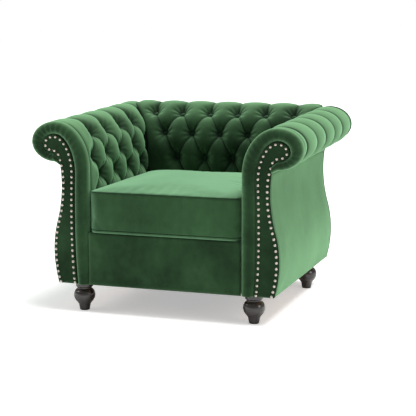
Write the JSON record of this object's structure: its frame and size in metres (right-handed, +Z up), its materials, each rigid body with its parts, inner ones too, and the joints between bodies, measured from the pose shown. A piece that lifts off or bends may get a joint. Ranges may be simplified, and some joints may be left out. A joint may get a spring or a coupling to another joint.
{
  "type": "tufted rolled-arm club chair",
  "caption": "Chesterfield armchair with rolled, button-tufted arms and back, nail-trimmed arm fronts, a loose seat cushion and turned bun legs.",
  "frame": {"origin": "on the floor, at the middle of the chair's overall box", "axes": "+X to the right for someone in front of the chair, -Y is the chair's front, +Z up"},
  "size_m": [1.0032, 0.8382, 0.7112],
  "materials": {
    "velvet": "green cotton velvet with a short pile and a soft sheen",
    "button_velvet": "the same green velvet stretched over button moulds",
    "leg_wood": "turned hardwood with a dark espresso stain and satin lacquer",
    "nail_nickel": "domed upholstery nails in a pale, slightly rosy nickel",
    "frame_timber": "sawn hardwood frame",
    "roll_filling": "firm pressed fibre roll",
    "seat_foam": "high resilience seat foam",
    "deck_felt": "pressed felt over the springs",
    "deck_canvas": "plain green deck cloth",
    "dust_cloth": "thin black cloth under the seat",
    "spring_steel": "oiled spring wire and pressed clips",
    "fastener_steel": "zinc plated bolts, nuts and inserts"
  },
  "bodies": {
    "chair": {"apron_board": "frame_timber", "apron_panel": "velvet", "arm_base_boards": "frame_timber", "arm_border_left": "velvet", "arm_border_right": "velvet", "arm_buttons_left": "button_velvet", "arm_buttons_right": "button_velvet", "arm_end_cover_left": "velvet", "arm_end_cover_right": "velvet", "arm_front_board_left": "frame_timber", "arm_front_board_right": "frame_timber", "arm_inner_rails": "frame_timber", "arm_outer_rails": "frame_timber", "arm_pad_left": "velvet", "arm_pad_right": "velvet", "arm_panel_left": "velvet", "arm_panel_right": "velvet", "arm_rear_board_left": "frame_timber", "arm_rear_board_right": "frame_timber", "arm_roll_core_left": "roll_filling", "arm_roll_core_right": "roll_filling", "arm_top_rails": "frame_timber", "back_bolts": "fastener_steel", "back_bottom_rail": "frame_timber", "back_buttons": "button_velvet", "back_end_covers": "velvet", "back_inner_rail": "frame_timber", "back_middle_rail": "frame_timber", "back_nuts": "fastener_steel", "back_pad": "velvet", "back_roll_core": "roll_filling", "back_side_boards": "frame_timber", "back_top_rail": "frame_timber", "deck_cloth": "deck_canvas", "deck_pad": "deck_felt", "dust_cover": "dust_cloth", "facing_board_left": "frame_timber", "facing_board_right": "frame_timber", "facing_cover_left": "velvet", "facing_cover_right": "velvet", "front_leg_left": "leg_wood", "front_leg_right": "leg_wood", "leg_bolts": "fastener_steel", "leg_tee_nuts": "fastener_steel", "nails_left": "nail_nickel", "nails_right": "nail_nickel", "outside_back_panel": "velvet", "rear_leg_left": "leg_wood", "rear_leg_right": "leg_wood", "seat_front_rail": "frame_timber", "seat_rear_rail": "frame_timber", "seat_side_rails": "frame_timber", "seat_springs": "spring_steel", "spring_clips": "spring_steel"},
    "seat_cushion": {"seat_cushion_cover": "velvet", "seat_cushion_foam": "seat_foam"}
  },
  "joints": [
    {"name": "cushion_lift", "type": "slide", "parent": "chair", "child": "seat_cushion", "axis": [0, 0, 1], "range_m": [0, 0.42]}
  ]
}
